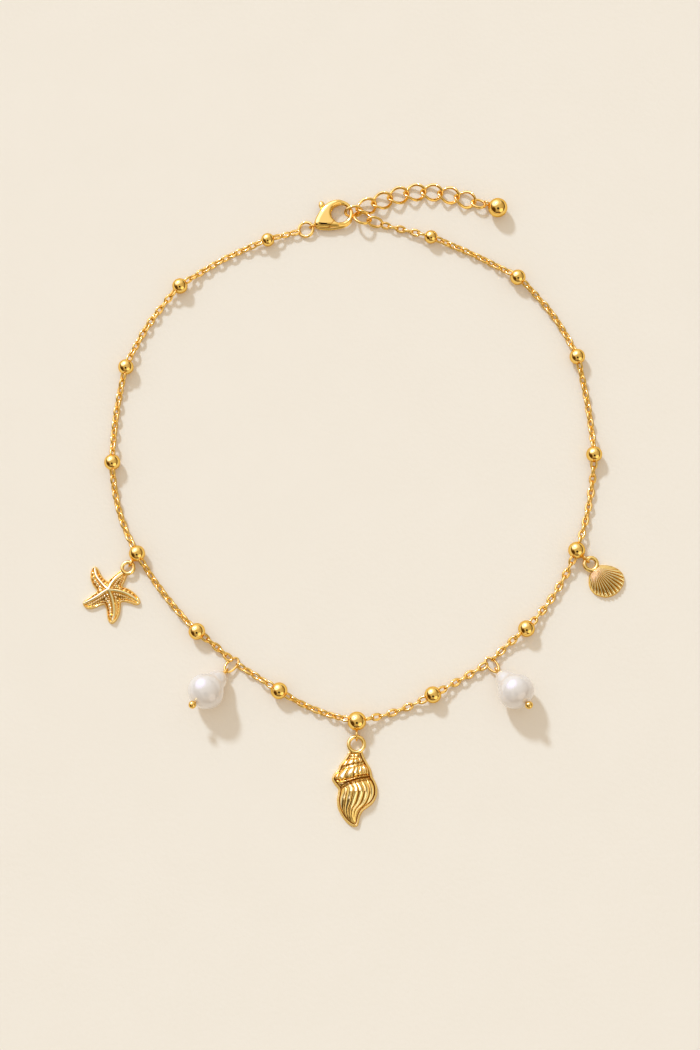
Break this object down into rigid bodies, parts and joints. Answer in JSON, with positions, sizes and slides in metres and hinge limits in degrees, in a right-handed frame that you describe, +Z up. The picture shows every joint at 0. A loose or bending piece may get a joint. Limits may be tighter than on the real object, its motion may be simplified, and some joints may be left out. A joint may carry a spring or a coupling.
{
  "type": "shell necklace",
  "caption": "Fine gold-coloured cable chain with round station beads, shell and starfish charms, drop pearls, a lobster clasp and an extender chain, laid flat in a loop.",
  "frame": {"origin": "on the surface that the necklace lies on, under the middle of its bounding box", "axes": "+Y from the conch charm to the clasp, +X to the right of that as seen from above, +Z up from the surface"},
  "size_m": [0.1372, 0.1682, 0.0092],
  "materials": {
    "polished_gold": "mirror-polished warm yellow gold plate over brass",
    "chain_gold": "bright drawn-wire chain, warm yellow gold plate",
    "clasp_gold": "tumbled, softly polished gold plate",
    "cast_gold": "cast relief, polished high points and darker grooves, gold plate",
    "pearl": "baroque pearl nacre, white with a warm and lilac sheen"
  },
  "bodies": {
    "necklace": {"bead_centre": "polished_gold", "bead_left_1": "polished_gold", "bead_left_2": "polished_gold", "bead_left_3": "polished_gold", "bead_left_4": "polished_gold", "bead_left_5": "polished_gold", "bead_left_6": "polished_gold", "bead_left_7": "polished_gold", "bead_right_1": "polished_gold", "bead_right_2": "polished_gold", "bead_right_3": "polished_gold", "bead_right_4": "polished_gold", "bead_right_5": "polished_gold", "bead_right_6": "polished_gold", "bead_right_7": "polished_gold", "chain_01": "chain_gold", "chain_02": "chain_gold", "chain_03": "chain_gold", "chain_04": "chain_gold", "chain_05": "chain_gold", "chain_06": "chain_gold", "chain_07": "chain_gold", "chain_08": "chain_gold", "chain_09": "chain_gold", "chain_10": "chain_gold", "chain_11": "chain_gold", "chain_12": "chain_gold", "chain_13": "chain_gold", "chain_14": "chain_gold", "chain_15": "chain_gold", "chain_16": "chain_gold", "chain_17": "chain_gold", "chain_18": "chain_gold", "clasp_body": "clasp_gold", "clasp_link": "polished_gold", "conch_charm": "cast_gold", "end_ball": "polished_gold", "end_link": "polished_gold", "extender_link_1": "chain_gold", "extender_link_2": "chain_gold", "extender_link_3": "chain_gold", "extender_link_4": "chain_gold", "extender_link_5": "chain_gold", "extender_link_6": "chain_gold", "extender_link_7": "chain_gold", "extender_link_8": "chain_gold", "head_pin_left": "polished_gold", "head_pin_right": "polished_gold", "jump_ring_left": "polished_gold", "jump_ring_right": "polished_gold", "pearl_left": "pearl", "pearl_right": "pearl", "pearl_ring_left": "polished_gold", "pearl_ring_right": "polished_gold", "scallop_charm": "cast_gold", "starfish_charm": "cast_gold"},
    "clasp_lever": {"clasp_lever": "clasp_gold"}
  },
  "joints": [
    {"name": "lever_hinge", "type": "hinge", "parent": "necklace", "child": "clasp_lever", "pos_m": [-0.00736, 0.07428, 0.00125], "axis": [0, 0, 1], "range_deg": [0, 25], "stiffness_Nm_per_rad": 0.002, "springref_deg": -28.65}
  ]
}
